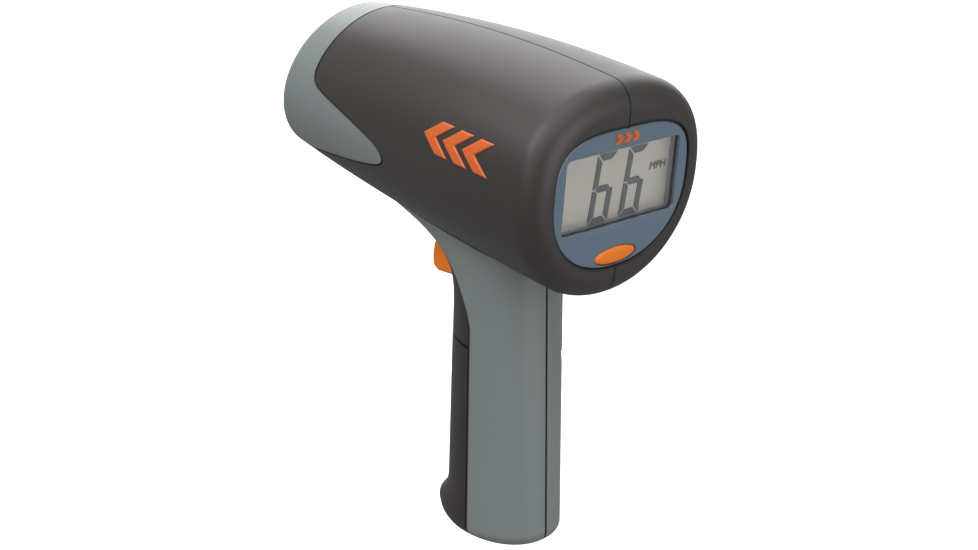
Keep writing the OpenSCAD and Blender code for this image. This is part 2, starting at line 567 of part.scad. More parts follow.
module battery_sleeve() color([0.15, 0.15, 0.15]) place() up_grip(cell_foot) difference() {
    cylinder(r = sleeve_r, h = 2*cell_l - 4, $fn = 72);
    translate([0, 0, -1]) cylinder(r = cell_r + 0.4, h = 2*cell_l, $fn = 72);
    slab([2*cell_r - 4, 40, 2*cell_l - 20], [0, 20, cell_l - 2]);
}
module cell(foot) up_grip(foot) {
    cylinder(r = cell_r, h = cell_l - 2, $fn = 72);
    cylinder(r = 3.3, h = cell_l - 0.05, $fn = 40);
}
module battery_lower() color([0.72, 0.6, 0.2]) place() cell(cell_foot);
module battery_upper() color([0.72, 0.6, 0.2]) place() cell(cell_foot - cell_l/cos(rake_deg));
module battery_spring() color([0.8, 0.8, 0.82]) place() up_grip(cell_foot + spring_gap) difference() {
    cylinder(r1 = 8, r2 = 5, h = spring_gap - 0.1, $fn = 48);
    translate([0, 0, -0.1]) cylinder(r1 = 7.2, r2 = 4.2, h = spring_gap + 0.1, $fn = 48);
}
module contact_plate_lower() color([0.8, 0.8, 0.82]) place() up_grip(cell_foot + spring_gap + 0.9)
    translate([-9, -9, 0]) cube([18, 18, 0.8]);
module contact_plate_upper() color([0.8, 0.8, 0.82]) place()
    up_grip(cell_foot - 2*cell_l/cos(rake_deg) - 0.1) translate([-7, -7, 0]) cube([14, 14, 0.8]);
module battery_leads() color([0.6, 0.1, 0.1]) place() for (sx = [-1, 1]) {
    lead_top = -24;
    translate([sx*4.5, lead_y, -cell_top + 1.8]) cylinder(r = 0.8, h = cell_top - 1.8 + lead_top, $fn = 16);
    translate([sx*4.5, lead_y, lead_top]) sphere(r = 0.8, $fn = 24);
    translate([sx*4.5, board_y + board_t + 0.05, lead_top]) rotate([-90, 0, 0])
        cylinder(r = 0.8, h = lead_y - board_y - board_t, $fn = 16);
}

// ---------- fasteners and marks ----------

module housing_screws() color([0.3, 0.3, 0.31]) place() at_grip_screws() {
    translate([0, 0, -screw_tip]) cylinder(r = screw_r, h = screw_tip + 8.5, $fn = 32);
    difference() {
        translate([0, 0, 8]) cylinder(r = screw_head_r, h = 2, $fn = 32);
        slab([0.9, 3.2, 1.6], [0, 0, 10]);
        slab([3.2, 0.9, 1.6], [0, 0, 10]);
    }
}

mark_y = 26;
mark_z = 12;
mark_h = 13;
chevron_w = 7.5;
chevron_lean = 9;
// a raised chevron on the head's side, pointing to the nose
module chevron(side, i) {
    rows = 6;
    function spot(u, v, out) = let (y = mark_y + i*12 + u*chevron_w + chevron_lean*(1 - abs(2*v - 1)),
        z = mark_z + (v - 0.5)*mark_h) [side*(head_x(y, z) + out), y - nose_rake*ease(y/head_l)*z, z];
    thick([for (a = [0:rows]) [for (b = [0:2]) spot(b/2, a/rows, proud)]],
        [for (a = [0:rows]) [for (b = [0:2]) spot(b/2, a/rows, 0.12)]], false, side > 0);
}
module side_mark_left() color([0.9, 0.42, 0.16]) place() for (i = [0:2]) chevron(-1, i);
module side_mark_right() color([0.9, 0.42, 0.16]) place() for (i = [0:2]) chevron(1, i);
module bezel_mark() color([0.9, 0.42, 0.16]) place() pushed(bezel_sink - 0.35, 0.3)
    for (i = [0:2]) translate([-6.5 + 4.6*i, 20.8])
        polygon([[0, -2], [2.6, -2], [4.4, 0], [2.6, 2], [0, 2], [1.8, 0]]);

head_shell_left();
head_shell_right();
nose_shroud();
radome();
radome_seal();
horn_antenna();
transceiver_block();
oscillator_can();
signal_board();
chassis();
main_board();
board_screws();
lcd_glass();
lcd_frame();
lcd_contact_strips();
lcd_digits();
display_bezel();
display_window();
window_gasket();
mode_button();
mode_switch();
grip_shell_left();
grip_shell_right();
trigger_surround();
battery_door();
trigger();
trigger_pin();
trigger_spring();
trigger_switch();
trigger_bracket();
battery_sleeve();
battery_lower();
battery_upper();
battery_spring();
contact_plate_lower();
contact_plate_upper();
battery_leads();
housing_screws();
side_mark_left();
side_mark_right();
bezel_mark();
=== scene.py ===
# A hand-held speed radar gun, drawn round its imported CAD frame. Shapes are worked out in
# millimetres about the head's datum (rear face y = 0, datum height z = 0, beam along +Y)
# and put into the frame in metres by toFrame().
import bpy
import json
import math
import numpy as np
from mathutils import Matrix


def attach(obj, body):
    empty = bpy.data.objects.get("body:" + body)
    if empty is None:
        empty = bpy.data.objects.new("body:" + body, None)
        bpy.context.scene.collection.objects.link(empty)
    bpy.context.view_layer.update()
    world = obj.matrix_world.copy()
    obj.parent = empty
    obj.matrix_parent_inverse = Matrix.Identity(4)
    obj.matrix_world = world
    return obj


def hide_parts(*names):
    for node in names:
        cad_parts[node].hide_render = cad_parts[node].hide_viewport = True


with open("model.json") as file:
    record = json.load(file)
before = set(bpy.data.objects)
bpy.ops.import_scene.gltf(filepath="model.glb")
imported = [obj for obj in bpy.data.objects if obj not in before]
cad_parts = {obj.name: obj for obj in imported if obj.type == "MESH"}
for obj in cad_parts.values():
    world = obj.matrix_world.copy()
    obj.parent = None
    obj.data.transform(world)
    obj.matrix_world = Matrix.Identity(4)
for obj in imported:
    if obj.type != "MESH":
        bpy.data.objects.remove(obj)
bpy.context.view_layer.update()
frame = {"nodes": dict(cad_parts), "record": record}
print("frame loaded:", len(frame["nodes"]), "nodes")

# ---- shape of the gun: what a user would change, in millimetres ----
head = dict(length=171.0, rearHalfWidth=48.4, midHalfWidth=44.0, rearUp=41.0, midUp=43.4,
            rearDown=46.0, midDown=42.4, rearFillet=10.0, wall=2.4, rearUpPower=2.47,
            rearDownPower=2.05, midDownPower=1.9)
nose = dict(radius=34.2, rise=1.0, rake=0.25, rimRound=5.0, rimWidth=6.0, shroudY=150.5,
            tabY=86.0, tabZ=-6.0, tabHalfHeight=3.0)
display = dict(halfWidth=36.5, up=24.6, down=31.6, upPower=3.5, downPower=2.2, sink=0.6,
               windowHalfWidth=31.2, windowTop=16.5, windowBottom=-14.2, glassY=6.2)
button = dict(halfWidth=11.3, halfHeight=3.4, z=-27.3)
grip = dict(drop=171.2, halfWidth=20.6, halfDepth=26.8, taper=3.4, y=63.0, rake=0.076, footRound=6.0,
            footTilt=0.12, flare=64.0, flareFrom=0.70, flarePower=4.5, frontPower=2.0, backPower=2.25,
            doorTop=-86.0, lip=7.6, lipAt=0.07, lipSpread=0.05, split=88.0, splitTop=40.0, topGap=0.3,
            skinRadius=23.0)
trigger = dict(halfWidth=6.3, pivotY=84.0, pivotZ=-47.0, corner=1.6)
fits = dict(seam=0.15, free=0.4, edgeRoll=0.45, lineWidth=0.27, lineFade=2.3)

centreY = (head["length"] + nose["rake"]*nose["radius"])/2
lipAtFoot = grip["lip"]*math.exp(-(grip["lipAt"]/grip["lipSpread"])**2)
lowest = grip["drop"] + grip["footTilt"]*(grip["halfDepth"] - grip["footRound"] + lipAtFoot)


# ---- shape functions ----

def toFrame(points):
    return (np.asarray(points, float) + (0.0, -centreY, lowest))/1000


# quadratic through a at t = 0, b at the middle and c at t = 1
def through(t, a, b, c):
    return a*(1 - t)*(1 - 2*t) + 4*b*t*(1 - t) + c*t*(2*t - 1)


def ease(t):
    return t*t*(3 - 2*t)


def signedPower(v, e):
    return np.sign(v)*np.abs(v)**e


# softened max(0, v)
def ramp(v, r):
    return (v + np.sqrt(v*v + r*r))/2


def softMin(a, b, r):
    return (a + b - np.sqrt((a - b)**2 + r*r))/2


# oval with its own height and squareness above and below: x = a cos^(2/n), z = h sin^(2/n)
def oval(th, a, up, down, upPower, downPower):
    above = np.sin(th) >= 0
    power = np.where(above, upPower, downPower)
    return a*signedPower(np.cos(th), 2/power), np.where(above, up, down)*signedPower(np.sin(th), 2/power)


def headSizes(t):
    rise = nose["rise"]*t
    return dict(rise=rise, a=through(t, head["rearHalfWidth"], head["midHalfWidth"], nose["radius"]),
                up=through(t, head["rearUp"], head["midUp"], nose["radius"] + nose["rise"]) - rise,
                down=through(t, head["rearDown"], head["midDown"], nose["radius"] - nose["rise"]) + rise,
                upPower=head["rearUpPower"] + (2 - head["rearUpPower"])*t,
                downPower=through(t, head["rearDownPower"], head["midDownPower"], 2.0))


# skin of the head: an oval at y/length along the taper, moved in by inset, leant by the nose's rake
def headSkin(y, th, inset):
    t = y/head["length"]
    s = headSizes(t)
    x, z = oval(th, s["a"] - inset, s["up"] - inset, s["down"] - inset, s["upPower"], s["downPower"])
    x, y, z = np.broadcast_arrays(x, y - nose["rake"]*ease(t)*z, z + s["rise"])
    return np.stack([x, y, z], -1)


def headSide(y, z):
    t = y/head["length"]
    s = headSizes(t)
    v = z - s["rise"]
    h = np.where(v >= 0, s["up"], s["down"])
    power = np.where(v >= 0, s["upPower"], s["downPower"])
    return s["a"]*np.maximum(0, 1 - (np.abs(v)/h)**power)**(1/power)


# belly below a place in plan; the leaning section that lies over it is found in three steps
def headUnder(x, y):
    t, drop = y/head["length"], 0.0
    for step in range(4):
        t = (y + nose["rake"]*ease(t)*drop)/head["length"]
        s = headSizes(t)
        n = s["downPower"]
        drop = -s["down"]*np.maximum(0, 1 - np.minimum(1, np.abs(x)/s["a"])**n)**(1/n)
    return s["rise"] + drop


# front edge of the dark shells: a ring line that a pointed tab interrupts on each side
def shellEdge(th):
    z = headSkin(0.65*head["length"], th, 0.0)[..., 2]
    upper = nose["tabY"] + 5.2*ramp(z - nose["tabZ"] - nose["tabHalfHeight"], 4)
    y = softMin(nose["shroudY"], upper + 4.2*ramp(nose["tabZ"] - nose["tabHalfHeight"] - 2 - z, 3), 16)
    below = np.clip((-np.sin(th) - 0.45)/0.55, 0, 1)
    return y + (head["length"] - 14 - nose["shroudY"])*ease(below)


def bezelEdge(th, grow, y):
    x, z = oval(th, display["halfWidth"] + grow, display["up"] + grow, display["down"] + grow,
                display["upPower"], display["downPower"])
    return np.stack(np.broadcast_arrays(x, np.asarray(y, float), z), -1)


gripSpan = grip["drop"] - head["midDown"]


def gripMiddle(s):
    return grip["y"] - grip["rake"]*(grip["drop"] - s*gripSpan)


# grip section: an oval in plan whose front half reaches forward in a flare under the head
def gripPlan(s, phi, inset):
    front = np.cos(phi) >= 0
    flare = grip["flare"]*np.maximum(0, (s - grip["flareFrom"])/(1 - grip["flareFrom"]))**grip["flarePower"]
    lip = grip["lip"]*np.exp(-((s - grip["lipAt"])/grip["lipSpread"])**2)*np.sqrt(np.maximum(0, np.cos(phi)))
    depth = grip["halfDepth"] - grip["taper"]*s - inset + np.where(front, flare + lip, 0)
    n = np.where(front, grip["frontPower"], grip["backPower"])
    x = (grip["halfWidth"] - inset)*signedPower(np.sin(phi), 2/n)
    return x, gripMiddle(s) + depth*signedPower(np.cos(phi), 2/n)


def footHeight(y):
    return -grip["drop"] - grip["footTilt"]*(y - gripMiddle(0.0))


# s runs from 0 at the foot to 1 at the underside of the head
def gripSkin(s, phi, inset):
    x, y = gripPlan(s, phi, inset)
    topX, topY = gripPlan(np.ones_like(s), phi, inset)
    top = headUnder(topX, topY) - grip["topGap"]
    x, y, z = np.broadcast_arrays(x, y, footHeight(y) + s*(top - footHeight(y)))
    return np.stack([x, y, z], -1)


def splitAngle(s):
    rise = ease(np.clip((s - 0.72)/0.28, 0, 1))
    return np.radians(grip["split"] + (grip["splitTop"] - grip["split"])*rise)


# how far the skin drops at a distance d from an edge rounded with radius r
def roll(d, r):
    d = np.clip(d, 0, r)
    return r - np.sqrt(np.maximum(0, r*r - (r - d)**2))


# darkness of the parting line at a distance d from a piece's edge: painted shadow in the gap, with some dirt
def gapShadowAndDirt(d):
    return np.clip(fits["lineFade"] - d/fits["lineWidth"], 0, 1)


# places from 0 to 1 that crowd towards the ends chosen, with n steps between
def crowded(n, atStart=True, atEnd=True, reach=0.02, extra=6):
    fine = reach*(np.linspace(0, 1, extra + 1)[:-1])**1.5
    middle = np.linspace(reach if atStart else 0, 1 - reach if atEnd else 1, n + 1)
    return np.concatenate([fine if atStart else [], middle, 1 - fine[::-1] if atEnd else []])


# ---- mesh building ----

# closed solid between an outer and an inner grid of points, rows by columns
def sheetSolid(name, outer, inner, wrap=False, sharp=38, shade=None):
    rows, cols = outer.shape[:2]
    at = np.arange(2*rows*cols).reshape(2, rows, cols)
    if wrap:
        at = np.concatenate([at, at[:, :, :1]], 2)

    def strip(a, b):
        return np.stack([a[:-1], a[1:], b[1:], b[:-1]], -1).reshape(-1, 4)
    o, i = at[0], at[1]
    faces = [np.stack([o[:-1, :-1], o[:-1, 1:], o[1:, 1:], o[1:, :-1]], -1).reshape(-1, 4),
             np.stack([i[:-1, :-1], i[1:, :-1], i[1:, 1:], i[:-1, 1:]], -1).reshape(-1, 4),
             strip(i[0], o[0]), strip(o[-1], i[-1])]
    if not wrap:
        faces += [strip(o[:, 0], i[:, 0]), strip(i[:, -1], o[:, -1])]
    points = np.concatenate([outer.reshape(-1, 3), inner.reshape(-1, 3)])
    obj = makeMesh(name, toFrame(points), np.concatenate(faces), sharp)
    if shade is not None:   # 1 beside a parting line and inside, 0 on the open skin: painted shadow in the gaps and over the whole inside, with some dirt at the lines
        attribute = obj.data.attributes.new("gapShadowAndDirt", "FLOAT", "POINT")
        both = np.concatenate([np.asarray(shade, float).ravel(), np.ones(rows*cols)])
        attribute.data.foreach_set("value", both.astype(np.float32))
    return obj


def makeMesh(name, points, faces, sharp=38):
    mesh = bpy.data.meshes.new(name)
    mesh.from_pydata(points.tolist(), [], faces.tolist())
    mesh.update()
    mesh.validate()
    turnOutward(mesh)
    mesh.shade_smooth()
    mesh.set_sharp_from_angle(angle=math.radians(sharp))
    obj = bpy.data.objects.new(name, mesh)
    bpy.context.scene.collection.objects.link(obj)
    return obj


# turns every face round if the signed volume of the closed mesh is negative
def turnOutward(mesh):
    mesh.calc_loop_triangles()
    tri = np.zeros(len(mesh.loop_triangles)*3, np.int64)
    mesh.loop_triangles.foreach_get("vertices", tri)
    co = np.zeros(len(mesh.vertices)*3)
    mesh.vertices.foreach_get("co", co)
    p = co.reshape(-1, 3)[tri.reshape(-1, 3)]
    if np.einsum("ij,ij->", p[:, 0], np.cross(p[:, 1], p[:, 2])) < 0:
        mesh.flip_normals()


# takes a tool's solid away from an object, for holes and slots
def cutAway(obj, tool):
    mod = obj.modifiers.new("cut", "BOOLEAN")
    mod.object = tool
    mod.operation = "DIFFERENCE"
    mod.solver = "EXACT"
    bpy.context.view_layer.update()
    mesh = bpy.data.meshes.new_from_object(obj.evaluated_get(bpy.context.evaluated_depsgraph_get()))
    obj.modifiers.clear()
    obj.data = mesh
    mesh.shade_smooth()
    mesh.set_sharp_from_angle(angle=math.radians(38))
    bpy.data.objects.remove(tool)


# prism of a closed outline: outline points (n, 3) pushed along a vector
def prism(name, outline, push, sharp=38):
    n = len(outline)
    points = np.concatenate([outline, outline + np.asarray(push, float)])
    ring = np.arange(n)
    sides = np.stack([ring, (ring + 1) % n, (ring + 1) % n + n, ring + n], -1).tolist()
    mesh = bpy.data.meshes.new(name)
    mesh.from_pydata(toFrame(points).tolist(), [], sides + [ring[::-1].tolist(), (ring + n).tolist()])
    mesh.update()
    turnOutward(mesh)
    mesh.shade_smooth()
    mesh.set_sharp_from_angle(angle=math.radians(sharp))
    obj = bpy.data.objects.new(name, mesh)
    bpy.context.scene.collection.objects.link(obj)
    return obj


def standsFor(obj, body, slotName, *nodes):
    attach(obj, body)
    if nodes:
        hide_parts(*nodes)
    print("made", obj.name)
    return obj


# ---- materials ----

def newMaterial(name, color, roughness, metallic=0.0, coat=0.0, coatRoughness=0.1, specular=0.5):
    mat = bpy.data.materials.new(name)
    mat.use_nodes = True
    shader = mat.node_tree.nodes["Principled BSDF"]
    shader.inputs["Base Color"].default_value = (*color, 1)
    shader.inputs["Roughness"].default_value = roughness
    shader.inputs["Metallic"].default_value = metallic
    shader.inputs["Coat Weight"].default_value = coat
    shader.inputs["Coat Roughness"].default_value = coatRoughness
    shader.inputs["Specular IOR Level"].default_value = specular
    return mat, shader


def addNoise(mat, scale, detail=3.0, roughness=0.6):
    nodes, links = mat.node_tree.nodes, mat.node_tree.links
    coord = nodes.new("ShaderNodeTexCoord")
    noise = nodes.new("ShaderNodeTexNoise")
    noise.inputs["Scale"].default_value = scale
    noise.inputs["Detail"].default_value = detail
    noise.inputs["Roughness"].default_value = roughness
    links.new(coord.outputs["Object"], noise.inputs["Vector"])
    return noise


# moulded plastic: a slow colour drift, roughness that varies a little, a fine eroded grain, and near-black
# painted shadow (with some dirt) where the seam attribute marks parting lines and insides
def mouldedPlastic(name, color, roughness, grain=1500.0, bump=0.25, drift=0.12, depth=0.00006, **extra):
    mat, shader = newMaterial(name, color, roughness, **extra)
    nodes, links = mat.node_tree.nodes, mat.node_tree.links
    slow = addNoise(mat, 18.0, 4.0)
    mix = nodes.new("ShaderNodeMix")
    mix.data_type = "RGBA"
    mix.inputs["A"].default_value = (*[c*(1 - drift) for c in color], 1)
    mix.inputs["B"].default_value = (*[min(1, c*(1 + drift)) for c in color], 1)
    links.new(slow.outputs["Fac"], mix.inputs["Factor"])
    lines = nodes.new("ShaderNodeAttribute")
    lines.attribute_name = "gapShadowAndDirt"
    dark = nodes.new("ShaderNodeMix")
    dark.data_type = "RGBA"
    # near-black colour of the painted gap shadow, with some dirt at the parting lines
    dark.inputs["B"].default_value = (0.004, 0.004, 0.004, 1)
    links.new(lines.outputs["Fac"], dark.inputs["Factor"])
    links.new(mix.outputs["Result"], dark.inputs["A"])
    links.new(dark.outputs["Result"], shader.inputs["Base Color"])
    fine = addNoise(mat, grain, 2.0, 0.5)
    spread = nodes.new("ShaderNodeMapRange")
    spread.inputs["To Min"].default_value = roughness - 0.06
    spread.inputs["To Max"].default_value = roughness + 0.06
    links.new(slow.outputs["Fac"], spread.inputs["Value"])
    links.new(spread.outputs["Result"], shader.inputs["Roughness"])
    bumpNode = nodes.new("ShaderNodeBump")
    bumpNode.inputs["Strength"].default_value = bump
    bumpNode.inputs["Distance"].default_value = depth
    links.new(fine.outputs["Fac"], bumpNode.inputs["Height"])
    links.new(bumpNode.outputs["Normal"], shader.inputs["Normal"])
    return mat


# metal: brushed or cast grain stretched along one axis
def metal(name, color, roughness, stretch=(1, 1, 1), grain=600.0, bump=0.2):
    mat, shader = newMaterial(name, color, roughness, metallic=1.0)
    nodes, links = mat.node_tree.nodes, mat.node_tree.links
    noise = addNoise(mat, grain, 3.0)
    mapping = nodes.new("ShaderNodeMapping")
    mapping.inputs["Scale"].default_value = stretch
    coord = nodes.new("ShaderNodeTexCoord")
    links.new(coord.outputs["Object"], mapping.inputs["Vector"])
    links.new(mapping.outputs["Vector"], noise.inputs["Vector"])
    spread = nodes.new("ShaderNodeMapRange")
    spread.inputs["To Min"].default_value = max(0.05, roughness - 0.08)
    spread.inputs["To Max"].default_value = roughness + 0.08
    links.new(noise.outputs["Fac"], spread.inputs["Value"])
    links.new(spread.outputs["Result"], shader.inputs["Roughness"])
    bumpNode = nodes.new("ShaderNodeBump")
    bumpNode.inputs["Strength"].default_value = bump
    bumpNode.inputs["Distance"].default_value = 0.00005
    links.new(noise.outputs["Fac"], bumpNode.inputs["Height"])
    links.new(bumpNode.outputs["Normal"], shader.inputs["Normal"])
    return mat


def clearPlastic(name):
    mat, shader = newMaterial(name, (0.93, 0.95, 0.96), 0.04)
    shader.inputs["Transmission Weight"].default_value = 1.0
    shader.inputs["IOR"].default_value = 1.46
    smudge = addNoise(mat, 60.0, 3.0)
    spread = mat.node_tree.nodes.new("ShaderNodeMapRange")
    spread.inputs["To Min"].default_value = 0.02
    spread.inputs["To Max"].default_value = 0.09
    mat.node_tree.links.new(smudge.outputs["Fac"], spread.inputs["Value"])
    mat.node_tree.links.new(spread.outputs["Result"], shader.inputs["Roughness"])
    return mat


finish = {
    "head_plastic": mouldedPlastic("headPlastic", (0.034, 0.030, 0.029), 0.46, bump=0.3, specular=0.45),
    "grey_plastic": mouldedPlastic("greyPlastic", (0.182, 0.206, 0.202), 0.44, bump=0.2, drift=0.06),
    "strip_plastic": mouldedPlastic("stripPlastic", (0.022, 0.019, 0.018), 0.45, bump=0.25),
    "radome_plastic": mouldedPlastic("radomePlastic", (0.018, 0.018, 0.019), 0.55, grain=900.0, bump=0.4),
    "black_rubber": mouldedPlastic("blackRubber", (0.015, 0.015, 0.015), 0.7, bump=0.3),
    "plated_metal": metal("platedMetal", (0.78, 0.79, 0.80), 0.3, stretch=(1, 0.1, 1)),
    "cast_metal": metal("castMetal", (0.62, 0.63, 0.65), 0.5, grain=900.0, bump=0.5),
    "can_metal": metal("canMetal", (0.85, 0.72, 0.42), 0.28),
    "circuit_board": mouldedPlastic("circuitBoard", (0.02, 0.15, 0.06), 0.35, grain=400.0, bump=0.1),
    "frame_plastic": mouldedPlastic("framePlastic", (0.115, 0.105, 0.125), 0.45, bump=0.1),
    "chassis_plastic": mouldedPlastic("chassisPlastic", (0.05, 0.05, 0.055), 0.5),
    "screw_steel": metal("screwSteel", (0.62, 0.62, 0.64), 0.3),
    "dark_screw_steel": metal("darkScrewSteel", (0.10, 0.10, 0.11), 0.4),
    "lcd_glass": mouldedPlastic("lcdGlass", (0.43, 0.385, 0.325), 0.3, grain=2500.0, bump=0.05, drift=0.05),
    "lcd_ink": mouldedPlastic("lcdInk", (0.008, 0.013, 0.010), 0.55, bump=0.05, drift=0.2),
    "contact_rubber": mouldedPlastic("contactRubber", (0.5, 0.3, 0.36), 0.6),
    "bezel_plastic": mouldedPlastic("bezelPlastic", (0.108, 0.158, 0.212), 0.26, grain=2200.0, bump=0.06,
                                    drift=0.08, coat=0.6, coatRoughness=0.08),
    "clear_plastic": clearPlastic("clearPlastic"),
    "orange_plastic": mouldedPlastic("orangePlastic", (0.84, 0.195, 0.006), 0.36, bump=0.12, drift=0.05),
    "orange_paint": mouldedPlastic("orangePaint", (0.62, 0.115, 0.018), 0.4, bump=0.15, drift=0.08),
    "spring_steel": metal("springSteel", (0.7, 0.7, 0.72), 0.25),
    "cell_jacket": mouldedPlastic("cellJacket", (0.42, 0.28, 0.06), 0.3, bump=0.05, coat=0.5),
    "wire_jacket": mouldedPlastic("wireJacket", (0.45, 0.03, 0.02), 0.4),
}


def paint(obj, slotName):
    obj.data.materials.clear()
    obj.data.materials.append(finish[slotName])


print("materials:", len(finish))

# ---- head ----

headColumns = dict(steps=96, seamReach=0.004, extra=9)
headRows = dict(rearSteps=5, filletSteps=16, bodySteps=84)


# angles from the roof seam to the belly seam, crowded at both seams
def seamAngles(side):
    u = crowded(headColumns["steps"], reach=headColumns["seamReach"], extra=headColumns["extra"])
    return np.pi/2 + side*np.pi*u


# half of the head: out of the display opening, over the rear face and its rounded edge, then forward
def headHalf(name, side, node):
    th = seamAngles(side)
    r = fits["edgeRoll"]
    rf, wall = head["rearFillet"], head["wall"]
    outer, inner, shade = [], [], []

    def pinch(row):   # lowers the skin next to the seam
        mid = np.array([0.0, 0.0, nose["rise"]])
        drop = roll(np.abs(row[:, 0]), r)[:, None]
        out = row - mid
        out[:, 1] = 0
        return row - drop*out/np.maximum(1e-6, np.linalg.norm(out, axis=1, keepdims=True))
    for b in np.linspace(0, np.pi/2, 5):   # rounded lip of the opening
        outer.append(bezelEdge(th, fits["seam"] + 0.6*(1 - np.cos(b)), 0.6*(1 - np.sin(b))))
        inner.append(bezelEdge(th, fits["seam"] + 0.6*(1 - np.cos(b)), wall))
    start = bezelEdge(th, fits["seam"] + 0.6, 0.0)
    end = headSkin(0.0, th, rf)
    endIn = headSkin(wall, th, rf)
    for k in np.linspace(0, 1, headRows["rearSteps"] + 1)[1:-1]:
        outer.append(start + (end - start)*k)
        inner.append(start + (endIn - start)*k + (0, wall*(1 - k), 0))
    for b in np.linspace(0, np.pi/2, headRows["filletSteps"] + 1):
        outer.append(headSkin(rf*(1 - np.cos(b)), th, rf*(1 - np.sin(b))))
        inner.append(headSkin(rf - (rf - wall)*np.cos(b), th, rf - (rf - wall)*np.sin(b)))
    edge = shellEdge(th)
    slope = np.gradient(edge, headSkin(0.65*head["length"], th, 0.0)[:, 2] + 1e-6*np.arange(len(th)))
    lean = 1/np.sqrt(1 + np.minimum(60, slope**2))   # true distance from a slanting edge
    for k in crowded(headRows["bodySteps"], atStart=False, reach=0.03, extra=14)[1:]:
        y = rf + (edge - rf)*k
        outer.append(headSkin(y, th, roll((edge - y)*lean, r)))
        inner.append(headSkin(y, th, wall))
        shade.append(gapShadowAndDirt((edge - y)*lean))
    first = len(outer) - len(shade)
    shade = np.concatenate([np.zeros((first, len(th))), shade])
    # painted shade over the rounded lip of the display opening
    shade[:5] = 1
    outer = [pinch(row) for row in outer]
    # painted shadow, with some dirt, along the middle seam between the halves
    shade = np.maximum(shade, gapShadowAndDirt(np.abs(np.array(outer)[..., 0])))
    shift = np.array([-side*fits["seam"]/2, 0, 0])
    obj = sheetSolid(name, np.array(outer) + shift, np.array(inner) + shift, shade=shade)
    paint(obj, "head_plastic")
    return standsFor(obj, "housing", "head_plastic", node)


headHalf("headShellLeft", 1, "head_shell_left")
headHalf("headShellRight", -1, "head_shell_right")


# shroud round the nose, from the shells' edge to the rim and back inside
def noseShroud():
    th = np.linspace(0, 2*np.pi, 361)[:-1] + np.pi/2
    r, rr, wall = fits["edgeRoll"], nose["rimRound"], head["wall"]
    edge = shellEdge(th) + 2*fits["seam"]
    slope = np.gradient(shellEdge(th), headSkin(0.65*head["length"], th, 0.0)[:, 2] + 1e-6*np.sin(th*0.5))
    lean = 1/np.sqrt(1 + np.minimum(60, slope**2))
    endY = head["length"] - rr
    outer, inner, shade = [], [], []
    for k in crowded(60, atEnd=False, reach=0.05, extra=14):
        y = edge + (endY - edge)*k
        outer.append(headSkin(y, th, roll((y - edge)*lean, r)))
        inner.append(headSkin(y, th, wall))
        shade.append(gapShadowAndDirt((y - edge)*lean))
    for b in np.linspace(0, np.pi/2, 13)[1:]:
        outer.append(headSkin(endY + rr*np.sin(b), th, rr*(1 - np.cos(b))))
        inner.append(headSkin(endY + (rr - wall)*np.sin(b), th, rr - (rr - wall)*np.cos(b)))
    for b in np.linspace(0, np.pi/2, 5):
        lip = 0.5*(1 - np.cos(b))
        outer.append(headSkin(head["length"] - lip, th, nose["rimWidth"] - 0.5*(1 - np.sin(b))))
        inner.append(headSkin(head["length"] - wall, th, nose["rimWidth"] - 0.01))
    shade = np.concatenate([shade, np.zeros((len(outer) - len(shade), len(th)))])
    obj = sheetSolid("noseShroud", np.array(outer), np.array(inner), wrap=True, shade=shade)
    paint(obj, "grey_plastic")
    return standsFor(obj, "housing", "grey_plastic", "nose_shroud")


noseShroud()

# ---- grip ----

footS = grip["footRound"]/gripSpan


# rows of the grip's skin from the flat of the foot, round its edge and up; columns are angles at each s
def gripRows(anglesAt, inset, edgeGap, topS, footPoints, steps):
    r = grip["footRound"]
    ri = r - inset
    rows = list(footPoints)
    shade = [gapShadowAndDirt(edgeGap(0.0, 0.0)) for row in footPoints]

    def edgeDrop(s, k):
        return roll(edgeGap(s, k), fits["edgeRoll"]) if inset == 0 else 0.0
    for b in np.linspace(0, np.pi/2, 13):
        s = np.full_like(anglesAt(0.0), (r - ri*np.cos(b))/gripSpan)
        p = gripSkin(s, anglesAt(0.0), r - ri*np.sin(b) + edgeDrop(0.0, 0.0)*np.sin(b))
        p[:, 2] = footHeight(p[:, 1]) + r - ri*np.cos(b)
        rows.append(p)
        shade.append(gapShadowAndDirt(edgeGap(0.0, 0.0)))
    for k in crowded(steps, atStart=False, reach=0.02, extra=8)[1:]:
        s = footS + (topS - footS)*k
        phi = anglesAt(s)
        rows.append(gripSkin(np.full_like(phi, s), phi, inset + edgeDrop(s, k)))
        shade.append(gapShadowAndDirt(edgeGap(s, k)))
    return np.array(rows), np.array(shade)


def gripHalf(name, side, node):
    u = crowded(64, reach=0.012, extra=8)

    def angles(s):
        a = splitAngle(s)
        return a + (np.pi - a)*u

    def gap(s, k):   # distance from the nearest edge
        phi = angles(s)
        across = np.abs(gripPlan(np.full_like(phi, s), phi, 0.0)[0])
        side = np.minimum((phi - phi[0])*grip["skinRadius"], across)
        return np.minimum(side, (1 - k)*gripSpan)
    grids = []
    for inset in (0.0, head["wall"]):
        p = gripSkin(np.zeros_like(u), angles(0.0), grip["footRound"])
        flat = []
        for k in np.linspace(0, 1, 7)[:-1]:
            q = p.copy()
            q[:, 0] = p[:, 0]*k
            q[:, 1] = p[0, 1] + (p[:, 1] - p[0, 1])*(0.9 + 0.1*k)
            q[:, 2] = footHeight(q[:, 1]) + inset
            flat.append(q)
        rows, shade = gripRows(angles, inset, gap, 1.0, flat, 90)
        rows[..., 0] = side*(rows[..., 0] + fits["seam"]/2)
        rows[:, 0, 1] -= fits["seam"]/2
        grids.append(rows)
    obj = sheetSolid(name, *grids, shade=shade)
    paint(obj, "grey_plastic")
    return standsFor(obj, "housing", "grey_plastic", node)


gripHalf("gripShellLeft", -1, "grip_shell_left")
gripRight = gripHalf("gripShellRight", 1, "grip_shell_right")

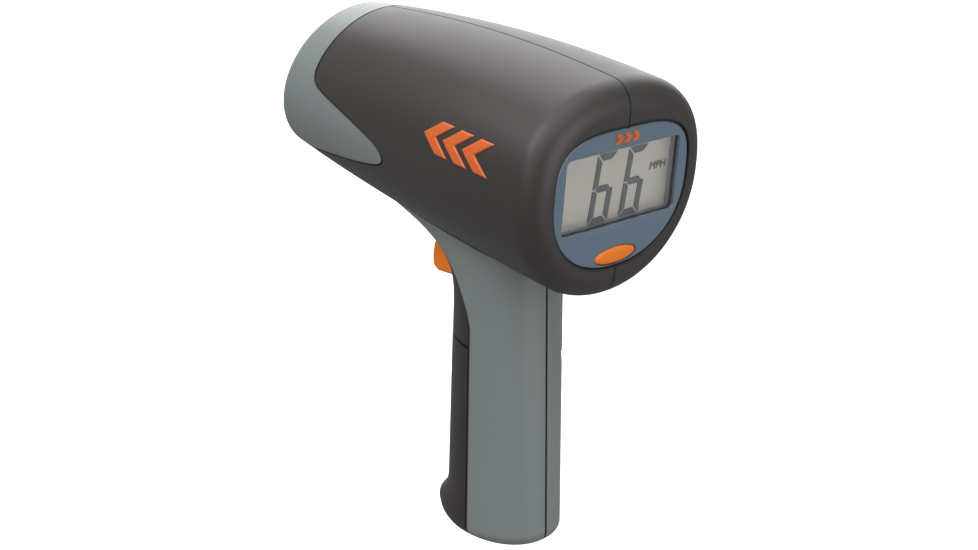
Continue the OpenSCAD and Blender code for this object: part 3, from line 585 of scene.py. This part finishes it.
screws = dict(down=(88.0, 146.0), back=19.3, floor=7.6, holeRadius=3.0)
turn = np.linspace(0, 2*np.pi, 49)[:-1]
for down in screws["down"]:   # recesses for the housing screws
    middle = grip["y"] - grip["rake"]*down - screws["back"]
    ring = np.stack([np.full_like(turn, screws["floor"]), middle + screws["holeRadius"]*np.cos(turn),
                     -down + screws["holeRadius"]*np.sin(turn)], -1)
    cutAway(gripRight, prism("screwHole", ring, (20, 0, 0)))


# front strip between two heights, as one panel from split line to split line
def stripGrid(inset, bottomS, topS, steps, bottomRoll, topRoll):
    u = crowded(72, reach=0.012, extra=8)
    r = fits["edgeRoll"]
    rows, shade = [], []
    for k in crowded(steps, reach=0.015, extra=8):
        s = bottomS + (topS - bottomS)*k
        a = splitAngle(s)
        phi = -a + 2*a*u
        side = np.minimum(phi + a, a - phi)*grip["skinRadius"]
        ends = np.minimum(k*(topS - bottomS)*gripSpan + (0 if bottomRoll else 9),
                          (1 - k)*(topS - bottomS)*gripSpan + (0 if topRoll else 9))
        drop = roll(np.minimum(side, ends), r) if inset == 0 else 0.0
        rows.append(gripSkin(np.full_like(phi, s), phi, inset + drop))
        shade.append(gapShadowAndDirt(np.minimum(side, ends)))
    return np.array(rows), np.array(shade)


doorTopS = (grip["doorTop"] + grip["drop"])/gripSpan


def triggerSurround():
    grids = []
    for inset in (head["wall"], 0.0):
        rows, shade = stripGrid(inset, doorTopS, 1.0, 60, True, False)
        grids.append(rows + (0, fits["seam"]/2, 0))
    obj = sheetSolid("triggerSurround", grids[1], grids[0], shade=shade)
    w = trigger["halfWidth"] + fits["free"]
    y0, y1 = trigger["pivotY"] - 30, trigger["pivotY"] + 17
    z0, z1 = trigger["pivotZ"] - 22, trigger["pivotZ"] + 2
    slot = np.array([[-w, y0, z0], [w, y0, z0], [w, y1, z0], [-w, y1, z0]])
    cutAway(obj, prism("slot", slot, (0, 0, z1 - z0)))
    paint(obj, "strip_plastic")
    return standsFor(obj, "housing", "strip_plastic", "trigger_surround")


triggerSurround()


def batteryDoor():
    u = crowded(72, reach=0.012, extra=8)
    topS = (grip["doorTop"] - fits["free"] + grip["drop"])/gripSpan

    def angles(s):
        a = splitAngle(s)
        return -a + 2*a*u

    def gap(s, k):
        phi = angles(s)
        side = np.minimum(phi - phi[0], phi[-1] - phi)*grip["skinRadius"]
        return np.minimum(side, (1 - k)*(topS - footS)*gripSpan)
    grids = []
    for inset in (0.0, head["wall"]):
        p = gripSkin(np.zeros_like(u), angles(0.0), grip["footRound"])
        flat = []
        for k in np.linspace(0, 1, 7)[:-1]:
            q = p.copy()
            q[:, 0] = p[:, 0]*(0.9 + 0.1*k)
            q[:, 1] = p[0, 1] + (p[:, 1] - p[0, 1])*k
            q[:, 2] = footHeight(q[:, 1]) + inset
            flat.append(q)
        rows, shade = gripRows(angles, inset, gap, topS, flat, 90)
        rows[..., 1] += fits["seam"]/2 + fits["free"]/2
        grids.append(rows)
    obj = sheetSolid("batteryDoor", *grids, shade=shade)
    paint(obj, "strip_plastic")
    return standsFor(obj, "battery_door", "strip_plastic", "battery_door")


batteryDoor()

# ---- trigger ----

# side outline of the trigger, about its pivot; the corners are rounded by the bevel
triggerOutline = [(-3, 3), (3, 3), (12.5, -3), (14.6, -7), (15, -13), (14.2, -17.5), (11, -19),
                  (-1, -17.5), (-3, -9)]


def triggerBlade():
    outline = np.array([[-trigger["halfWidth"], trigger["pivotY"] + y, trigger["pivotZ"] + z]
                        for y, z in triggerOutline])
    obj = prism("triggerBlade", outline, (2*trigger["halfWidth"], 0, 0), 30)
    mod = obj.modifiers.new("round", "BEVEL")
    mod.width = trigger["corner"]/1000
    mod.segments = 5
    mod.limit_method = "ANGLE"
    mod.angle_limit = math.radians(15)
    paint(obj, "orange_plastic")
    return standsFor(obj, "trigger", "orange_plastic", "trigger")


triggerBlade()

# ---- display ----


def bezelRing():
    th = np.linspace(0, 2*np.pi, 385)[:-1]
    y0, back = display["sink"], head["wall"] + fits["seam"]
    w = display["windowHalfWidth"]
    zMid = (display["windowTop"] + display["windowBottom"])/2
    h = (display["windowTop"] - display["windowBottom"])/2

    def window(grow, y):   # rectangle with small round corners, on the same angles as the outline
        x, z = oval(th, w + grow, h + grow, h + grow, 22.0, 22.0)
        return np.stack(np.broadcast_arrays(x, np.asarray(y, float), z + zMid), -1)
    outer, inner = [], []
    outer.append(bezelEdge(th, 0, back))
    inner.append(window(0, back))
    for b in np.linspace(0, np.pi/2, 6):   # polished edge
        outer.append(bezelEdge(th, -0.5*(1 - np.cos(b)), y0 + 0.5*(1 - np.sin(b))))
        inner.append(window(0, back))
    a, c = bezelEdge(th, -0.5, y0), window(0.25, y0)
    for k in np.linspace(0, 1, 9)[1:]:
        outer.append(a + (c - a)*k)
        inner.append(window(0, back))
    for b in np.linspace(0, np.pi/2, 4)[1:]:
        outer.append(window(0.25*(1 - np.sin(b)), y0 + 0.25*(1 - np.cos(b))))
        inner.append(window(0, back))
    outer.append(window(0, back - 0.4))
    inner.append(window(0, back))
    faceGrid = np.array(outer)
    backRow = np.array([bezelEdge(th, 0, back) + (window(0, back) - bezelEdge(th, 0, back))*k
                        for k in np.linspace(0, 1, len(faceGrid))])
    obj = sheetSolid("displayBezel", faceGrid, backRow + (0, 1e-3, 0), wrap=True, sharp=30)
    paint(obj, "bezel_plastic")
    ring = np.stack([(button["halfWidth"] + fits["free"])*np.cos(turn), np.full_like(turn, -2.0),
                     button["z"] + (button["halfHeight"] + fits["free"])*np.sin(turn)], -1)
    cutAway(obj, prism("buttonHole", ring, (0, 12, 0)))
    return standsFor(obj, "housing", "bezel_plastic", "display_bezel")


bezelRing()


# button: an oval with a low crown, its stem and lip behind it
def modeButton():
    th = np.linspace(0, 2*np.pi, 97)[:-1]
    a, b, z0 = button["halfWidth"], button["halfHeight"], button["z"]
    front = display["sink"] - 0.4
    back = head["wall"] + fits["seam"]
    rows = [np.stack([(a + 1.2)*np.cos(th), np.full_like(th, back + 0.8), z0 + (b + 0.8)*np.sin(th)], -1),
            np.stack([(a + 1.2)*np.cos(th), np.full_like(th, back), z0 + (b + 0.8)*np.sin(th)], -1),
            np.stack([a*np.cos(th), np.full_like(th, back), z0 + b*np.sin(th)], -1)]
    for q in np.linspace(0, np.pi/2, 12):   # crown: a quarter ellipse, drawn in towards the middle
        k = 0.001 + 0.999*np.cos(q)**0.55
        rows.append(np.stack([a*k*np.cos(th), np.full_like(th, front + 0.9 - 0.9*np.sin(q)),
                              z0 + b*k*np.sin(th)], -1))
    rows = np.array(rows)
    n = len(th)
    points = np.concatenate([rows.reshape(-1, 3), [[0, back + 0.8, z0]], [[0, front, z0]]])
    at = np.arange(len(rows)*n).reshape(len(rows), n)
    at = np.concatenate([at, at[:, :1]], 1)
    quads = np.stack([at[:-1, :-1], at[:-1, 1:], at[1:, 1:], at[1:, :-1]], -1).reshape(-1, 4).tolist()
    caps = [[len(rows)*n, at[0, j + 1], at[0, j]] for j in range(n)]
    caps += [[len(rows)*n + 1, at[-1, j], at[-1, j + 1]] for j in range(n)]
    mesh = bpy.data.meshes.new("modeButton")
    mesh.from_pydata(toFrame(points).tolist(), [], quads + caps)
    mesh.update()
    turnOutward(mesh)
    mesh.shade_smooth()
    mesh.set_sharp_from_angle(angle=math.radians(45))
    obj = bpy.data.objects.new("modeButton", mesh)
    bpy.context.scene.collection.objects.link(obj)
    paint(obj, "orange_plastic")
    return standsFor(obj, "mode_button", "orange_plastic", "mode_button")


modeButton()

# ---- display figures ----

figures = dict(height=28.2, width=11.0, bar=2.7, gap=0.55, lean=0.11, centres=(-5.6, 11.7), z=-0.3,
               bars=("top", "upperLeft", "middle", "lowerLeft", "lowerRight", "bottom"), thick=0.3)


# outline of one mitred bar of a figure, leant with the figure
def barOutline(kind, ox):
    w, g, b = figures["width"]/2, figures["gap"], figures["bar"]
    h, m = figures["height"]/2, 0.7*figures["gap"]
    if kind == "middle":
        tip, shoulder = w - b/2 - m, w - b - m
        p = np.array([[-tip, 0], [-shoulder, -b/2], [shoulder, -b/2], [tip, 0],
                      [shoulder, b/2], [-shoulder, b/2]])
    elif kind in ("top", "bottom"):
        p = np.array([[-w + g, h], [w - g, h], [w - b - g, h - b], [-w + b + g, h - b]])
    else:
        p = np.array([[-w, h - g], [-w + b, h - b - g], [-w + b, b/2 + m], [-w + b/2, m], [-w, m]])
    if kind in ("bottom", "lowerLeft", "lowerRight"):
        p[:, 1] *= -1
    if kind == "lowerRight":
        p[:, 0] *= -1
    return np.stack([ox + p[:, 0] + figures["lean"]*p[:, 1], np.full(len(p), display["glassY"] - 0.35),
                     figures["z"] + p[:, 1]], -1)


def lcdFigures():
    parts = [prism("bar", barOutline(kind, ox), (0, figures["thick"], 0))
             for ox in figures["centres"] for kind in figures["bars"]]
    curve = bpy.data.curves.new("unit", "FONT")
    curve.body = "MPH"   # plain unit lettering
    curve.size = 0.0047
    curve.extrude = 0.00015
    text = bpy.data.objects.new("unit", curve)
    bpy.context.scene.collection.objects.link(text)
    bpy.context.view_layer.update()
    mesh = bpy.data.meshes.new_from_object(text.evaluated_get(bpy.context.evaluated_depsgraph_get()))
    co = np.zeros(len(mesh.vertices)*3)
    mesh.vertices.foreach_get("co", co)
    co = co.reshape(-1, 3)*1000
    x, z = 20.0 + co[:, 0] + figures["lean"]*co[:, 1], 2.2 + co[:, 1]
    place = np.stack([x, display["glassY"] - 0.2 - co[:, 2], z], -1)
    mesh.vertices.foreach_set("co", toFrame(place).ravel())
    mesh.update()
    turnOutward(mesh)
    bpy.data.objects.remove(text)
    letters = bpy.data.objects.new("letters", mesh)
    bpy.context.scene.collection.objects.link(letters)
    parts.append(letters)
    with bpy.context.temp_override(active_object=parts[0], object=parts[0], selected_objects=parts,
                                   selected_editable_objects=parts):
        bpy.ops.object.join()
    obj = parts[0]
    obj.name = "lcdFigures"
    paint(obj, "lcd_ink")
    return standsFor(obj, "housing", "lcd_ink", "lcd_digits")


lcdFigures()

# ---- raised marks ----

marks = dict(y=26.0, z=12.0, height=13.0, width=7.5, lean=9.0, pitch=12.0, count=3, proud=0.6)


# chevrons on the head's side, each a thin patch that follows the skin and points to the nose
def sideMark(name, side, node):
    rows, cols = 41, 13
    v, u = np.meshgrid(np.linspace(0, 1, rows), np.linspace(0, 1, cols), indexing="ij")
    rim = np.minimum(np.minimum(v, 1 - v)*marks["height"], np.minimum(u, 1 - u)*marks["width"])
    parts = []
    for i in range(marks["count"]):
        y = marks["y"] + i*marks["pitch"] + u*marks["width"] + marks["lean"]*(1 - np.abs(2*v - 1))
        z = marks["z"] + (v - 0.5)*marks["height"]
        lay = y - nose["rake"]*ease(y/head["length"])*z
        x = headSide(y, z)
        out = marks["proud"] - 0.3*np.clip(1 - rim/0.35, 0, 1)**2
        grids = [np.stack([side*(x + h), lay, z], -1) for h in (out, np.full_like(x, -0.3))]
        parts.append(sheetSolid(name, *grids, sharp=50))
    with bpy.context.temp_override(active_object=parts[0], object=parts[0], selected_objects=parts,
                                   selected_editable_objects=parts):
        bpy.ops.object.join()
    obj = parts[0]
    obj.name = name
    paint(obj, "orange_paint")
    return standsFor(obj, "housing", "orange_paint", node)


sideMark("sideMarkLeft", -1, "side_mark_left")
sideMark("sideMarkRight", 1, "side_mark_right")

# ---- finishes for the CAD pieces that stay ----

for row in frame["record"]["subparts"]:
    node = frame["nodes"][row["node"]]
    paint(node, row["material_slot"])
    print("finished", row["node"])

# ---- stage, light and camera ----

view = dict(azimuth=-44.35, elevation=22.68, roll=4.21, distance=720.0, aside=51.2, above=32.8, lens=69.35)


def viewAxes():
    a, e, r = (math.radians(view[k]) for k in ("azimuth", "elevation", "roll"))
    back = np.array([math.sin(a)*math.cos(e), -math.cos(a)*math.cos(e), math.sin(e)])
    right = np.array([math.cos(a), math.sin(a), 0.0])
    up = np.cross(back, right)
    return right*math.cos(r) + up*math.sin(r), -right*math.sin(r) + up*math.cos(r), back


def makeCamera():
    from mathutils import Matrix
    right, up, back = viewAxes()
    spot = toFrame(back*view["distance"] - right*view["aside"] - up*view["above"])
    cam = bpy.data.objects.new("camera", bpy.data.cameras.new("camera"))
    cam.data.lens = view["lens"]
    cam.data.sensor_width = 36.0
    cam.data.clip_end = 50.0
    bpy.context.scene.collection.objects.link(cam)
    cam.matrix_world = Matrix([[right[i], up[i], back[i], spot[i]] for i in range(3)] + [[0, 0, 0, 1]])
    bpy.context.scene.camera = cam


makeCamera()


def makeFloor():
    mesh = bpy.data.meshes.new("floor")
    w, z = 8.0, -0.25
    mesh.from_pydata([(-w, -w, z), (w, -w, z), (w, w, z), (-w, w, z)], [], [(0, 1, 2, 3)])
    obj = bpy.data.objects.new("floor", mesh)
    bpy.context.scene.collection.objects.link(obj)
    mat, shader = newMaterial("floorPaper", (0.93, 0.93, 0.93), 0.9, specular=0.1)
    obj.data.materials.append(mat)
    obj.visible_diffuse = False   # keeps the pale floor from lighting the underside
    obj.visible_glossy = False


makeFloor()

lamps = {   # name: (kind, place, target, size in metres or degrees, power)
    "sky": ("SUN", (-0.2, -0.1, 1.0), (0, 0, 0), 75.0, 2.1),
    "backCard": ("AREA", (1.7, 1.8, 1.35), (0, 0, 0.12), 3.4, 95.0),
    "upperCard": ("AREA", (-1.5, 0.7, 1.5), (0, 0, 0.15), 1.2, 21.0),
    "rearCard": ("AREA", (0.3, -1.75, 0.4), (0, 0, 0.1), 1.5, 15.5),
    "sideCard": ("AREA", (-1.3, -0.3, 0.55), (0, 0, 0.13), 1.1, 3.5),
}
ambient = 0.30


def makeLights():
    from mathutils import Vector
    for name, (kind, place, target, size, power) in lamps.items():
        lamp = bpy.data.lights.new(name, kind)
        lamp.energy = power
        if kind == "SUN":
            lamp.angle = math.radians(size)
        else:
            lamp.size = size
        obj = bpy.data.objects.new(name, lamp)
        obj.location = place
        obj.rotation_euler = (Vector(place) - Vector(target)).to_track_quat("Z", "Y").to_euler()
        obj.visible_camera = False
        bpy.context.scene.collection.objects.link(obj)
    world = bpy.data.worlds.new("studio")
    world.use_nodes = True
    world.node_tree.nodes["Background"].inputs["Color"].default_value = (1, 1, 1, 1)
    world.node_tree.nodes["Background"].inputs["Strength"].default_value = ambient
    bpy.context.scene.world = world


makeLights()
bpy.context.scene.view_settings.view_transform = "Standard"

print("scene made")
